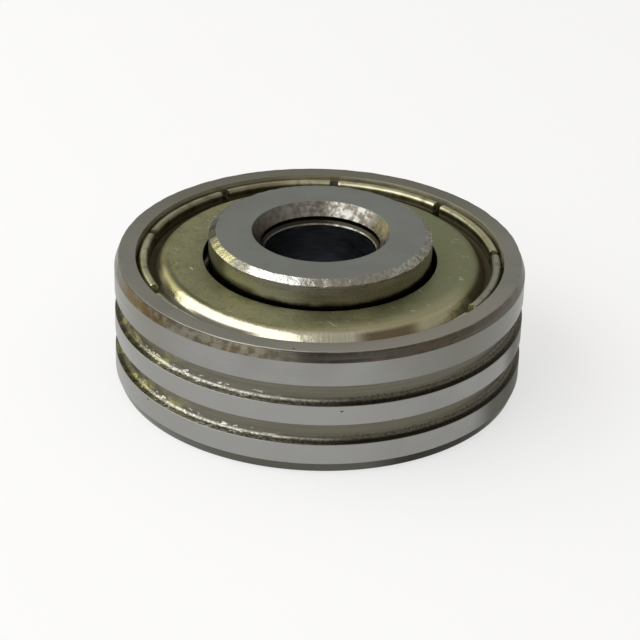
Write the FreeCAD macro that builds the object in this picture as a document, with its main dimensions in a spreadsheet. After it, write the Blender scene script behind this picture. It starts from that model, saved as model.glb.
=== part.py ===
import FreeCAD, Part

import math
import os

import Sketcher

# Shielded ball bearing for a moulded wheel, in millimetres and degrees.
# Its axis is Z, and Z = 0 is the lower face of both rings.

SIZES = (
    # Rings
    ("outer_diameter", 22.0),
    ("ring_width", 7.0),
    ("bore_diameter", 6.0),
    ("inner_extension", 1.36),
    # Lead-in at both ends of the outer ring's outside
    ("corner_depth", 0.21),
    ("corner_length", 0.57),
    # Grooves round the outside, which hold a moulded tyre
    ("tyre_groove_width", 1.16),
    ("tyre_groove_depth", 0.5),
    ("tyre_groove_round", 0.3),
    ("tyre_groove_spacing", 2.26),
    ("tyre_groove_shift", 0.1),
    # Recess in each face of the outer ring that holds a shield
    ("face_width", 0.92),
    ("seat_depth", 1.15),
    ("seat_undercut", 0.1),
    ("seat_play", 0.06),
    # Ends of the inner ring
    ("shoulder_chamfer_depth", 0.39),
    ("shoulder_chamfer_length", 0.27),
    ("mouth_flare", 0.49),
    ("mouth_depth", 0.72),
    ("counterbore_step", 0.2),
    ("counterbore_length", 0.22),
    ("lower_chamfer", 0.3),
    # Balls and raceways
    ("ball_count", 7),
    ("ball_diameter", 3.969),
    ("ball_play", 0.0155),
    ("race_wall", 1.5),
    ("raceway_ease", 0.08),
    ("outer_raceway_depth", 0.55),
    ("inner_raceway_depth", 0.48),
    # Pressed shields
    ("sheet_thickness", 0.24),
    ("shield_gap", 0.29),
    ("shield_drop", 0.15),
    ("shield_shoulder_round", 0.6),
    ("shield_shoulder_slope", 55),
    ("channel_width", 0.32),
    ("channel_round", 0.12),
    ("rim_gap", 0.18),
    ("rim_drop", 0.12),
    ("least_flat", 0.04),
    ("notch_count", 9),
    ("notch_width", 0.46),
    ("notch_turn", 5.8),
    # Ribbon cage
    ("cage_thickness", 0.3),
    ("cage_band", 1.3),
    ("pocket_play", 0.08),
    ("rivet_diameter", 0.6),
    ("rivet_head_diameter", 1.0),
    ("rivet_head_height", 0.25),
    ("rivet_head_round", 0.18),
)

doc = FreeCAD.newDocument("bearing")
sheet = doc.addObject("Spreadsheet::Sheet", "Sizes")
for row, (alias, size) in enumerate(SIZES, 1):
    sheet.set(f"A{row}", alias)
    sheet.set(f"B{row}", str(size))
    sheet.setAlias(f"B{row}", alias)
doc.recompute()

# Lines that more than one piece is built on
ZERO = "0"
OUTER_RADIUS = "Sizes.outer_diameter / 2"
FACE_RADIUS = f"({OUTER_RADIUS} - Sizes.corner_depth)"
SEAT_MOUTH_RADIUS = f"({FACE_RADIUS} - Sizes.face_width)"
SEAT_RADIUS = f"({SEAT_MOUTH_RADIUS} + Sizes.seat_undercut)"
BALL_RADIUS = "Sizes.ball_diameter / 2"
OUTER_RACE_RADIUS = f"({OUTER_RADIUS} - Sizes.race_wall)"
PITCH_RADIUS = f"({OUTER_RACE_RADIUS} - Sizes.ball_play - {BALL_RADIUS})"
INNER_RACE_RADIUS = f"({PITCH_RADIUS} - {BALL_RADIUS} - Sizes.ball_play)"
INNER_LAND_RADIUS = f"({INNER_RACE_RADIUS} + Sizes.inner_raceway_depth)"
RACEWAY_RADIUS = f"({BALL_RADIUS} + Sizes.raceway_ease)"
POCKET_RADIUS = f"({BALL_RADIUS} + Sizes.pocket_play)"
MID_HEIGHT = "Sizes.ring_width / 2"
INNER_TOP = "Sizes.ring_width + Sizes.inner_extension"
BALL_ANGLE = "360 / Sizes.ball_count"

UP = FreeCAD.Vector(0, 0, 1)


def value(expression):
    """The number that an expression on the sheet stands for."""
    return float(sheet.evalExpression(expression))


# Sketches


def new_body(label):
    body = doc.addObject("PartDesign::Body", label)
    body.Label = label
    return body


def origin_part(body, role):
    return next(part for part in body.Origin.OriginFeatures if part.Role == role)


def sketch_on(body, name, role):
    sketch = body.newObject("Sketcher::SketchObject", name)
    sketch.AttachmentSupport = [(origin_part(body, role), "")]
    sketch.MapMode = "FlatFace"
    return sketch


def bind(sketch, expression, *constraint):
    """Adds a constraint whose size follows an expression."""
    index = sketch.addConstraint(Sketcher.Constraint(*constraint, value(expression)))
    sketch.setExpression(f"Constraints[{index}]", expression)


def pin(sketch, item, end, across, up):
    """Holds a point at a distance across and up from the sketch's origin."""
    for kind, axis, expression in (("DistanceX", -2, across), ("DistanceY", -1, up)):
        if expression == ZERO:
            sketch.addConstraint(Sketcher.Constraint("PointOnObject", item, end, axis))
        else:
            bind(sketch, expression, kind, -1, 1, item, end)


def circle(sketch, across, up, radius):
    centre = FreeCAD.Vector(value(across), value(up), 0)
    item = sketch.addGeometry(Part.Circle(centre, UP, value(radius)))
    pin(sketch, item, 3, across, up)
    bind(sketch, radius, "Radius", item)


def rounded_corner(point, before, after, radius):
    """Where a rounding meets the sides of a corner, and its arc, which runs anticlockwise."""
    back = (before - point).normalize()
    ahead = (after - point).normalize()
    half_angle = back.getAngle(ahead) / 2
    arrival = point + back * (radius / math.tan(half_angle))
    departure = point + ahead * (radius / math.tan(half_angle))
    centre = point + (back + ahead).normalize() * (radius / math.sin(half_angle))
    turns_left = ahead.cross(back).z > 0
    ends = (arrival, departure) if turns_left else (departure, arrival)
    angles = [math.atan2(end.y - centre.y, end.x - centre.x) for end in ends]
    arc = Part.ArcOfCircle(Part.Circle(centre, UP, radius), *angles)
    return arrival, departure, arc, turns_left


def outline(sketch, corners):
    """Closed outline, anticlockwise, through corners of (across, up) or (across, up, rounding)."""
    points = [FreeCAD.Vector(value(corner[0]), value(corner[1]), 0) for corner in corners]
    count = len(corners)
    arrivals = list(points)
    departures = list(points)
    roundings = {}
    for here, corner in enumerate(corners):
        if len(corner) == 3:
            ahead = points[(here + 1) % count]
            rounding = rounded_corner(points[here], points[here - 1], ahead, value(corner[2]))
            arrivals[here], departures[here], *roundings[here] = rounding
    sides = [
        sketch.addGeometry(Part.LineSegment(departures[here - 1], arrivals[here]))
        for here in range(count)
    ]
    for here, corner in enumerate(corners):
        before = sides[here]
        after = sides[(here + 1) % count]
        if here not in roundings:
            sketch.addConstraint(Sketcher.Constraint("Coincident", before, 2, after, 1))
            pin(sketch, after, 1, corner[0], corner[1])
            continue
        arc, turns_left = roundings[here]
        rounding = sketch.addGeometry(arc)
        sharp = sketch.addGeometry(Part.Point(points[here]), True)
        pin(sketch, sharp, 1, corner[0], corner[1])
        sketch.addConstraint(Sketcher.Constraint("PointOnObject", sharp, 1, before))
        sketch.addConstraint(Sketcher.Constraint("PointOnObject", sharp, 1, after))
        arrival_end, departure_end = (1, 2) if turns_left else (2, 1)
        sketch.addConstraint(Sketcher.Constraint("Tangent", before, 2, rounding, arrival_end))
        sketch.addConstraint(Sketcher.Constraint("Tangent", after, 1, rounding, departure_end))
        bind(sketch, corner[2], "Radius", rounding)


# Features


def turned(body, name, sketch, kind="PartDesign::Revolution"):
    """A full turn of a sketch round its upright axis, added or cut away."""
    feature = body.newObject(kind, name)
    feature.Profile = sketch
    feature.ReferenceAxis = (sketch, ["V_Axis"])
    feature.Angle = 360
    body.Tip = feature
    return feature


def punched(body, name, sketch):
    """A sketch cut through the whole piece, both ways from its plane."""
    feature = body.newObject("PartDesign::Pocket", name)
    feature.Profile = sketch
    feature.SideType = "Two sides"
    feature.Type = "ThroughAll"
    feature.Type2 = "ThroughAll"
    body.Tip = feature
    return feature


def round_pattern(body, name, feature, count):
    """Repeats a feature evenly round the bearing's axis."""
    pattern = body.newObject("PartDesign::PolarPattern", name)
    pattern.Originals = [feature]
    pattern.Axis = (origin_part(body, "Z_Axis"), [""])
    pattern.Angle = 360
    pattern.setExpression("Occurrences", count)
    body.Tip = pattern
    return pattern


def upright_pair(body, name, feature, spacing):
    """The same feature twice, one above the other."""
    pattern = body.newObject("PartDesign::LinearPattern", name)
    pattern.Originals = [feature]
    pattern.Direction = (origin_part(body, "Z_Axis"), [""])
    pattern.Occurrences = 2
    pattern.setExpression("Length", spacing)
    body.Tip = pattern
    return pattern


def ball_shape(body, name, kind, radius):
    """Ball on the pitch circle, centred on the body's own XY plane."""
    feature = body.newObject(kind, name)
    feature.AttachmentSupport = [(origin_part(body, "XY_Plane"), "")]
    feature.MapMode = "FlatFace"
    feature.setExpression("AttachmentOffset.Base.x", PITCH_RADIUS)
    feature.setExpression("Radius", radius)
    body.Tip = feature
    return feature


def cut(make, body, *details):
    """Makes a feature that has to take material away."""
    doc.recompute()
    volume = body.Shape.Volume
    feature = make(body, *details)
    doc.recompute()
    if not body.Shape.Volume < volume:
        raise ValueError(f"{body.Label}: {feature.Name} cuts nothing")
    return feature


def place(item, height, axis=UP, turn=ZERO):
    """Sets a piece at a height, turned about an axis through the origin."""
    item.Placement = FreeCAD.Placement(FreeCAD.Vector(), FreeCAD.Rotation(axis, value(turn)))
    item.setExpression("Placement.Base.z", height)
    if turn != ZERO:
        item.setExpression("Placement.Rotation.Angle", turn)
    return item


# Rings


def raceway(body, centre_radius):
    """Groove of round section that the balls roll in."""
    section = sketch_on(body, "raceway_section", "XZ_Plane")
    circle(section, centre_radius, MID_HEIGHT, RACEWAY_RADIUS)
    cut(turned, body, "raceway", section, "PartDesign::Groove")


def outer_ring():
    """Ring with a recess for a shield in each face and two grooves round its outside."""
    body = new_body("outer_ring")
    land_radius = f"({OUTER_RACE_RADIUS} - Sizes.outer_raceway_depth)"
    top = "Sizes.ring_width"
    seat = "Sizes.seat_depth"
    undercut_depth = f"{seat} - Sizes.sheet_thickness - Sizes.seat_play"
    neck_depth = f"{undercut_depth} - Sizes.seat_undercut"
    section = sketch_on(body, "ring_section", "XZ_Plane")
    outline(
        section,
        [
            (SEAT_MOUTH_RADIUS, ZERO),
            (FACE_RADIUS, ZERO),
            (OUTER_RADIUS, "Sizes.corner_length"),
            (OUTER_RADIUS, f"{top} - Sizes.corner_length"),
            (FACE_RADIUS, top),
            (SEAT_MOUTH_RADIUS, top),
            (SEAT_MOUTH_RADIUS, f"{top} - ({neck_depth})"),
            (SEAT_RADIUS, f"{top} - ({undercut_depth})"),
            (SEAT_RADIUS, f"{top} - {seat}"),
            (land_radius, f"{top} - {seat}"),
            (land_radius, seat),
            (SEAT_RADIUS, seat),
            (SEAT_RADIUS, undercut_depth),
            (SEAT_MOUTH_RADIUS, neck_depth),
        ],
    )
    turned(body, "ring", section)
    raceway(body, f"{OUTER_RACE_RADIUS} - {RACEWAY_RADIUS}")

    groove_radius = f"{OUTER_RADIUS} - Sizes.tyre_groove_depth"
    outside = f"{OUTER_RADIUS} + Sizes.tyre_groove_depth"
    centre = f"({MID_HEIGHT} - Sizes.tyre_groove_shift - Sizes.tyre_groove_spacing / 2)"
    low = f"{centre} - Sizes.tyre_groove_width / 2"
    high = f"{centre} + Sizes.tyre_groove_width / 2"
    groove_section = sketch_on(body, "tyre_groove_section", "XZ_Plane")
    outline(
        groove_section,
        [
            (groove_radius, low, "Sizes.tyre_groove_round"),
            (outside, low),
            (outside, high),
            (groove_radius, high, "Sizes.tyre_groove_round"),
        ],
    )
    groove = cut(turned, body, "tyre_groove", groove_section, "PartDesign::Groove")
    cut(upright_pair, body, "tyre_grooves", groove, "Sizes.tyre_groove_spacing")
    return body


def inner_ring():
    """Ring that stands proud of the upper face, with a countersunk and counterbored mouth."""
    body = new_body("inner_ring")
    bore_radius = "Sizes.bore_diameter / 2"
    counterbore_radius = f"{bore_radius} + Sizes.counterbore_step"
    mouth_end = f"{INNER_TOP} - Sizes.mouth_depth"
    counterbore_end = f"{mouth_end} - Sizes.counterbore_length"
    lip_end = f"{counterbore_end} - Sizes.counterbore_step"
    section = sketch_on(body, "ring_section", "XZ_Plane")
    outline(
        section,
        [
            (f"{bore_radius} + Sizes.lower_chamfer", ZERO),
            (f"{INNER_LAND_RADIUS} - Sizes.lower_chamfer", ZERO),
            (INNER_LAND_RADIUS, "Sizes.lower_chamfer"),
            (INNER_LAND_RADIUS, f"{INNER_TOP} - Sizes.shoulder_chamfer_length"),
            (f"{INNER_LAND_RADIUS} - Sizes.shoulder_chamfer_depth", INNER_TOP),
            (f"{counterbore_radius} + Sizes.mouth_flare", INNER_TOP),
            (counterbore_radius, mouth_end),
            (counterbore_radius, counterbore_end),
            (bore_radius, lip_end),
            (bore_radius, "Sizes.lower_chamfer"),
        ],
    )
    turned(body, "ring", section)
    raceway(body, f"{INNER_RACE_RADIUS} + {RACEWAY_RADIUS}")
    return body


# Shields


def shield(label):
    """One pressing: flat plate, sloped shoulder, channel and folded rim. Its seat is at Z = 0."""
    body = new_body(label)
    sheet_top = "Sizes.sheet_thickness"
    plate_edge = f"{INNER_LAND_RADIUS} + Sizes.shield_gap"
    plate_top = "Sizes.seat_depth - Sizes.shield_drop"
    plate_under = f"{plate_top} - Sizes.sheet_thickness"
    rim_outside = f"{SEAT_MOUTH_RADIUS} - Sizes.rim_gap"
    rim_inside = f"{rim_outside} - 2 * Sizes.sheet_thickness"
    rim_top = "Sizes.seat_depth - Sizes.rim_drop"
    shoulder_foot = f"{rim_inside} - Sizes.channel_width"
    shoulder = f"{shoulder_foot} - ({plate_top} - {sheet_top}) / tan(Sizes.shield_shoulder_slope)"
    # the underside of a bend lies this far inside its upper side, so the sheet keeps its thickness
    bend_offset = "Sizes.sheet_thickness * tan(Sizes.shield_shoulder_slope / 2)"
    # each rounding leaves the least flat between itself and the next one on its wall
    lowest_round = f"({sheet_top} + Sizes.channel_round + Sizes.least_flat)"
    shoulder_round = f"min(Sizes.shield_shoulder_round; {plate_top} - {lowest_round})"
    rim_round = f"min(Sizes.sheet_thickness - Sizes.least_flat / 2; {rim_top} - {lowest_round})"
    section = sketch_on(body, "sheet_section", "XZ_Plane")
    outline(
        section,
        [
            (f"{shoulder_foot} - {bend_offset}", ZERO, "Sizes.channel_round + Sizes.sheet_thickness"),
            (SEAT_RADIUS, ZERO),
            (SEAT_RADIUS, sheet_top),
            (rim_outside, sheet_top),
            (rim_outside, rim_top, rim_round),
            (rim_inside, rim_top, rim_round),
            (rim_inside, sheet_top, "Sizes.channel_round"),
            (shoulder_foot, sheet_top, "Sizes.channel_round"),
            (shoulder, plate_top, shoulder_round),
            (plate_edge, plate_top),
            (plate_edge, plate_under),
            (f"{shoulder} - {bend_offset}", plate_under, f"{shoulder_round} - Sizes.sheet_thickness"),
        ],
    )
    turned(body, "pressing", section)

    # the notches let the rim spring into its seat
    beyond = f"{SEAT_RADIUS} + Sizes.sheet_thickness"
    notch_outline = sketch_on(body, "notch_outline", "XY_Plane")
    outline(
        notch_outline,
        [
            (rim_inside, "-Sizes.notch_width / 2"),
            (beyond, "-Sizes.notch_width / 2"),
            (beyond, "Sizes.notch_width / 2"),
            (rim_inside, "Sizes.notch_width / 2"),
        ],
    )
    notch = cut(punched, body, "notch", notch_outline)
    cut(round_pattern, body, "notches", notch, "Sizes.notch_count")
    return body


# Balls and cage


def ball(number):
    item = doc.addObject("Part::Sphere", f"ball_{number}")
    item.Label = f"ball_{number}"
    item.setExpression("Radius", BALL_RADIUS)
    turn = f"{BALL_ANGLE} * {number - 1}"
    item.setExpression("Placement.Base.x", f"{PITCH_RADIUS} * cos({turn})")
    item.setExpression("Placement.Base.y", f"{PITCH_RADIUS} * sin({turn})")
    item.setExpression("Placement.Base.z", MID_HEIGHT)
    return item


def cage_half(label):
    """Ribbon with a domed pocket over each ball. The two halves meet at Z = 0."""
    body = new_body(label)
    band_inside = f"{PITCH_RADIUS} - Sizes.cage_band / 2"
    band_outside = f"{PITCH_RADIUS} + Sizes.cage_band / 2"
    dome_radius = f"{POCKET_RADIUS} + Sizes.cage_thickness"
    beyond = f"{PITCH_RADIUS} + 2 * ({dome_radius})"

    ribbon_outline = sketch_on(body, "ribbon_outline", "XY_Plane")
    circle(ribbon_outline, ZERO, ZERO, band_inside)
    circle(ribbon_outline, ZERO, ZERO, band_outside)
    ribbon = body.newObject("PartDesign::Pad", "ribbon")
    ribbon.Profile = ribbon_outline
    ribbon.setExpression("Length", "Sizes.cage_thickness")
    body.Tip = ribbon

    # domes are pressed up from the ribbon, hollowed for the balls and trimmed to its width
    dome = ball_shape(body, "dome", "PartDesign::AdditiveSphere", dome_radius)
    dome.Angle1 = 0
    round_pattern(body, "domes", dome, "Sizes.ball_count")
    pocket = cut(ball_shape, body, "pocket", "PartDesign::SubtractiveSphere", POCKET_RADIUS)
    cut(round_pattern, body, "pockets", pocket, "Sizes.ball_count")
    inner_trim = sketch_on(body, "inner_trim", "XY_Plane")
    circle(inner_trim, ZERO, ZERO, band_inside)
    cut(punched, body, "trimmed_inside", inner_trim)
    outer_trim = sketch_on(body, "outer_trim", "XY_Plane")
    circle(outer_trim, ZERO, ZERO, band_outside)
    circle(outer_trim, ZERO, ZERO, beyond)
    cut(punched, body, "trimmed_outside", outer_trim)

    hole_outline = sketch_on(body, "rivet_hole_outline", "XY_Plane")
    hole_across = f"{PITCH_RADIUS} * cos({BALL_ANGLE} / 2)"
    hole_up = f"{PITCH_RADIUS} * sin({BALL_ANGLE} / 2)"
    circle(hole_outline, hole_across, hole_up, "Sizes.rivet_diameter / 2")
    hole = cut(punched, body, "rivet_hole", hole_outline)
    cut(round_pattern, body, "rivet_holes", hole, "Sizes.ball_count")
    return body


def cage_rivets():
    """A rivet between each two balls, with a rounded head on both sides. The lower heads end at Z = 0."""
    body = new_body("cage_rivets")
    body.AllowCompound = True
    shank_radius = "Sizes.rivet_diameter / 2"
    head_radius = "Sizes.rivet_head_diameter / 2"
    lower_head = "Sizes.rivet_head_height"
    upper_head = f"{lower_head} + 2 * Sizes.cage_thickness"
    end = f"{upper_head} + Sizes.rivet_head_height"
    section = sketch_on(body, "rivet_section", "XZ_Plane")
    section.setExpression("AttachmentOffset.Base.x", PITCH_RADIUS)
    outline(
        section,
        [
            (ZERO, ZERO),
            (head_radius, ZERO, "Sizes.rivet_head_round"),
            (head_radius, lower_head),
            (shank_radius, lower_head),
            (shank_radius, upper_head),
            (head_radius, upper_head),
            (head_radius, end, "Sizes.rivet_head_round"),
            (ZERO, end),
        ],
    )
    rivet = turned(body, "rivet", section)
    round_pattern(body, "rivets", rivet, "Sizes.ball_count")
    return body


# Assembly

TURNED_OVER = (FreeCAD.Vector(1, 0, 0), "180")
rivet_height = f"{MID_HEIGHT} - Sizes.cage_thickness - Sizes.rivet_head_height"
nodes = [
    outer_ring(),
    inner_ring(),
    place(shield("upper_shield"), "Sizes.ring_width - Sizes.seat_depth", UP, "Sizes.notch_turn"),
    place(shield("lower_shield"), "Sizes.seat_depth", *TURNED_OVER),
    place(cage_half("cage_upper"), MID_HEIGHT),
    place(cage_half("cage_lower"), MID_HEIGHT, *TURNED_OVER),
    place(cage_rivets(), rivet_height, UP, f"{BALL_ANGLE} / 2"),
]
nodes += [ball(number + 1) for number in range(int(value("Sizes.ball_count")))]
doc.recompute()

for item in doc.Objects:
    if {"Invalid", "Error"} & set(item.State):
        raise ValueError(f"{item.Label} could not be built: {item.State}")
for node in nodes:
    if node.Shape.isNull() or not node.Shape.isValid():
        raise ValueError(f"{node.Label} is not a sound solid")

os.makedirs("parts", exist_ok=True)
for node in nodes:
    node.Shape.exportStep(f"parts/{node.Label}.step")
    print(f"{node.Label}: {len(node.Shape.Solids)} solids, {node.Shape.Volume:.3f} mm3")
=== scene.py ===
# %% [markdown]
# # A grooved ball bearing
# The bearing is 22 mm across. A moulded wheel grips the two grooves round its outer ring, shields of
# yellow-finished sheet cover the balls, and the inner ring stands proud of the upper face. The solids come
# packed with their joints. This lesson adds what a camera notices: broken edges, and finishes that tell
# how each surface was turned, ground, pressed or stained.

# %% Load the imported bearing
import math
from collections import namedtuple

import bmesh
import bpy
from mathutils import Matrix, Vector, noise


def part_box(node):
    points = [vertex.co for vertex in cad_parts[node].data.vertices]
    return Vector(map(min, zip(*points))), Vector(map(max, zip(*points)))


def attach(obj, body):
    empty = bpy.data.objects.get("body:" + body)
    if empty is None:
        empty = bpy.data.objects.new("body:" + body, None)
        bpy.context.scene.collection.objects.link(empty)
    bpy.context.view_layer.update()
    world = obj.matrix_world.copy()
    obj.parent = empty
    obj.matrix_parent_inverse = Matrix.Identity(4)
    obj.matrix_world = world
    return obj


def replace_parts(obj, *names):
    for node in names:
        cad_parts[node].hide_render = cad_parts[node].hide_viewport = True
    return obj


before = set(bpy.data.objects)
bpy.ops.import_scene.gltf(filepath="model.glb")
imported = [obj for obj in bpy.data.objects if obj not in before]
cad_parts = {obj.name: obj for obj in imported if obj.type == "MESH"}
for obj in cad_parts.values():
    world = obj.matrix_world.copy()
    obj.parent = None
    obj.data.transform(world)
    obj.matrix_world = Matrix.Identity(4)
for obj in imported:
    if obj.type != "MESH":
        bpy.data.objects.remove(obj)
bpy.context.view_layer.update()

MM = 0.001
outer_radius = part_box("outer_ring")[1].x / MM
ring_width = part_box("outer_ring")[1].z / MM
inner_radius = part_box("inner_ring")[1].x / MM
inner_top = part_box("inner_ring")[1].z / MM
print(f"outer ring {2 * outer_radius:.2f} mm across and {ring_width:.2f} mm wide")
print(f"inner ring {2 * inner_radius:.2f} mm across, up to {inner_top:.2f} mm")

# %% [markdown]
# ## A lathe in code
# Rings and pressings like these are round, so each is one outline swept once round the axis, just as a
# lathe would leave it. The outline is a wire of straight sides. A bevel of its corner points rounds each
# one by the radius it should have, and the spin then turns the wire into a skin. A primitive would need the
# same edges cut into it afterwards, with less control over their radii.

# %% Outlines and turning
ROUND_STEPS = 6
TURN_STEPS = 378


def outline(corners):
    """Closed wire in the XZ plane through corners of (radius, height) or (radius, height, rounding)."""
    bm = bmesh.new()
    points = [bm.verts.new((corner[0], 0, corner[1])) for corner in corners]
    places = [point.co.copy() for point in points]
    for here, point in enumerate(points):
        bm.edges.new((points[here - 1], point))
    for here, corner in enumerate(corners):
        if len(corner) < 3:
            continue
        back = places[here - 1] - places[here]
        ahead = places[(here + 1) % len(corners)] - places[here]
        reach = corner[2] / math.tan(back.angle(ahead) / 2)
        bmesh.ops.bevel(bm, geom=[points[here]], offset=reach, offset_type="ABSOLUTE", affect="VERTICES",
                        segments=ROUND_STEPS, profile=0.5, material=-1)
    return bm


def turned(bm, start=0.0):
    """Sweeps a wire once round the axis, from a starting angle."""
    bmesh.ops.rotate(bm, verts=bm.verts[:], cent=(0, 0, 0), matrix=Matrix.Rotation(start, 3, "Z"))
    bmesh.ops.spin(bm, geom=bm.verts[:] + bm.edges[:], cent=(0, 0, 0), axis=(0, 0, 1), angle=math.tau,
                   steps=TURN_STEPS, use_merge=True)
    bmesh.ops.recalc_face_normals(bm, faces=bm.faces[:])


print(TURN_STEPS, "steps to a turn")

# %% [markdown]
# ## From a mesh to a piece
# A finished piece needs its finishes on the right faces, smooth shading that still breaks at true edges,
# and its place in the mechanism. Face-weighted normals keep a flat face flat right up to its broken edge,
# where plain smooth shading would bend its reflections.

# %% Finishing a piece
SHARP_ANGLE = math.radians(38)


def piece(bm, name, finishes, zone, body):
    """Makes an object of a mesh in millimetres. zone(radius, height) picks each face's finish."""
    for face in bm.faces:
        middle = face.calc_center_median()
        face.material_index = zone(middle.xy.length, middle.z)
        face.smooth = True
    bmesh.ops.scale(bm, vec=(MM, MM, MM), verts=bm.verts[:])
    mesh = bpy.data.meshes.new(name)
    bm.to_mesh(mesh)
    bm.free()
    mesh.set_sharp_from_angle(angle=SHARP_ANGLE)
    for finish in finishes:
        mesh.materials.append(finish)
    item = bpy.data.objects.new(name, mesh)
    bpy.context.scene.collection.objects.link(item)
    weighted = item.modifiers.new("weighted_normals", "WEIGHTED_NORMAL")
    weighted.keep_sharp = True
    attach(item, body)
    print(f"{name}: {len(mesh.polygons)} faces, {len(finishes)} finishes")
    return item


# %% [markdown]
# ## Finishes as node trees
# A finish is a small tree of nodes that reads Object coordinates, so it needs no unwrapping and stays put
# when the piece turns. These helpers add one node each, or a chain of them, so that a finish reads as a
# list of steps.

# %% Node helpers
SHADER_INPUTS = {
    "base": "Base Color",
    "rough": "Roughness",
    "normal": "Normal",
    "metal": "Metallic",
    "edge": "Specular Tint",
}


def new_finish(name, roughness, metallic=1.0):
    """A principled material to wire up. Returns it, its tree and its shader."""
    finish = bpy.data.materials.new(name)
    finish.use_nodes = True
    shader = finish.node_tree.nodes["Principled BSDF"]
    wire(finish.node_tree, shader, metal=metallic, rough=roughness)
    print("finish:", name)
    return finish, finish.node_tree, shader


def plug(tree, socket, value):
    """Links a socket to another, or sets it."""
    if isinstance(value, bpy.types.NodeSocket):
        tree.links.new(value, socket)
    else:
        socket.default_value = value


def wire(tree, shader, **values):
    """Plugs values into a shader by the short names above."""
    for name, value in values.items():
        plug(tree, shader.inputs[SHADER_INPUTS[name]], value)


def add(tree, kind, inputs, output=0, **settings):
    """Adds a node with these inputs and settings, and returns one of its outputs."""
    node = tree.nodes.new(kind)
    for name, value in settings.items():
        setattr(node, name, value)
    for name, value in inputs.items():
        plug(tree, node.inputs[name], value)
    return node.outputs[output]


def calc(tree, operation, first, second=0.0, clamp=False):
    return add(tree, "ShaderNodeMath", {0: first, 1: second}, operation=operation, use_clamp=clamp)


def vector_calc(tree, operation, first, second=(0, 0, 0), output=0):
    return add(tree, "ShaderNodeVectorMath", {0: first, 1: second}, output, operation=operation)


def times(tree, product, *factors):
    for factor in factors:
        product = calc(tree, "MULTIPLY", product, factor)
    return product


def largest(tree, most, *others):
    for other in others:
        most = calc(tree, "MAXIMUM", most, other)
    return most


def inverse(tree, share):
    """What a share leaves of 1."""
    return calc(tree, "SUBTRACT", 1.0, share)


def between(tree, value, low, high, start=0.0, end=1.0):
    """Eases from start to end as a value goes from low to high."""
    inputs = {"Value": value, "From Min": low, "From Max": high, "To Min": start, "To Max": end}
    return add(tree, "ShaderNodeMapRange", inputs, interpolation_type="SMOOTHSTEP")


def blend(tree, share, first, second):
    """Mixes two colours."""
    return add(tree, "ShaderNodeMix", {0: share, 6: first, 7: second}, 2, data_type="RGBA")


def colour(red, green, blue):
    return (red, green, blue, 1.0)


print("finishes wire up", *SHADER_INPUTS)

# %% [markdown]
# On turned parts the useful coordinates are round: the radius, the height and the direction from the axis.
# Turning and grinding leave fine lines round the axis. Noise gives them when it changes fast across the
# radius and height but slowly round the circle. The slow part is the direction from the axis and not an
# angle, because an angle jumps where the circle closes and would leave a seam there.

# %% Round coordinates, lines and patches
Space = namedtuple("Space", "place direction radius height")


def round_space(tree):
    """Place in millimetres, direction from the axis, radius and height."""
    place = vector_calc(tree, "MULTIPLY", add(tree, "ShaderNodeTexCoord", {}, "Object"), (1 / MM,) * 3)
    flat = vector_calc(tree, "MULTIPLY", place, (1, 1, 0))
    direction = vector_calc(tree, "NORMALIZE", flat)
    radius = vector_calc(tree, "LENGTH", flat, output=1)
    height = add(tree, "ShaderNodeSeparateXYZ", {0: place}, 2)
    return Space(place, direction, radius, height)


def mottle(tree, place, scale, detail=3.0):
    """Even noise, with a number of blotches to the millimetre."""
    return add(tree, "ShaderNodeTexNoise", {"Vector": place, "Scale": scale, "Detail": detail})


def turning_lines(tree, space, density, along=3.0):
    """Noise in lines round the axis, with a density of lines to the millimetre."""
    slow = vector_calc(tree, "MULTIPLY", space.direction, (along,) * 3)
    fast = add(tree, "ShaderNodeCombineXYZ", {"Z": times(tree, space.radius, density)})
    inputs = {
        "Vector": vector_calc(tree, "ADD", slow, fast),
        "W": times(tree, space.height, density),
        "Scale": 1.0,
        "Detail": 2.0,
    }
    return add(tree, "ShaderNodeTexNoise", inputs, noise_dimensions="4D")


def bump(tree, height, depth, normal=None):
    """Raises a surface by a depth in millimetres where the height is 1."""
    inputs = {"Height": height, "Distance": depth * MM, "Strength": 1.0}
    if normal is not None:
        inputs["Normal"] = normal
    return add(tree, "ShaderNodeBump", inputs)


print("round coordinates:", *Space._fields)

# %% [markdown]
# Handling, oil and light wear differ round a bearing, so most finishes change from one side to another. Many
# side tints are painted light and shade as well, standing in for what each side mirrors. A sector mask marks
# such a side by its direction, in degrees round from +X. The camera stands at 270. A tint is a sector with a
# colour, and heights can limit it to one land or corner.

# %% Sectors and tints
def sector(tree, space, middle, half_width, soft):
    """1 within an angle of a direction, in degrees round from +X, easing to 0."""
    aim = (math.cos(math.radians(middle)), math.sin(math.radians(middle)), 0)
    facing_aim = vector_calc(tree, "DOT_PRODUCT", space.direction, aim, output=1)
    far = math.cos(math.radians(min(half_width + soft, 180)))
    near = math.cos(math.radians(half_width))
    return between(tree, facing_aim, far, near)


def tinted(tree, space, base, tints):
    """Blends colours over a base, each round a direction: (middle, half width, softness, share, colour).

    Pairs of heights may follow. Each eases the colour in from its first height to its second.
    """
    for middle, half_width, soft, share, tint, *levels in tints:
        mask = times(tree, sector(tree, space, middle, half_width, soft), share)
        for start, full in levels:
            mask = times(tree, mask, between(tree, space.height, start, full))
        base = blend(tree, mask, base, tint)
    return base


def shade(grey, share):
    """A lighter or darker kind of a colour."""
    return colour(*(part * share for part in grey[:3]))


WHITE = colour(1, 1, 1)
UPPER = (4.2, 4.8)
LOWER = (4.8, 4.2)
LOWEST = (2.6, 2.0)
print("tints can keep to heights", UPPER, LOWER, LOWEST)
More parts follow.
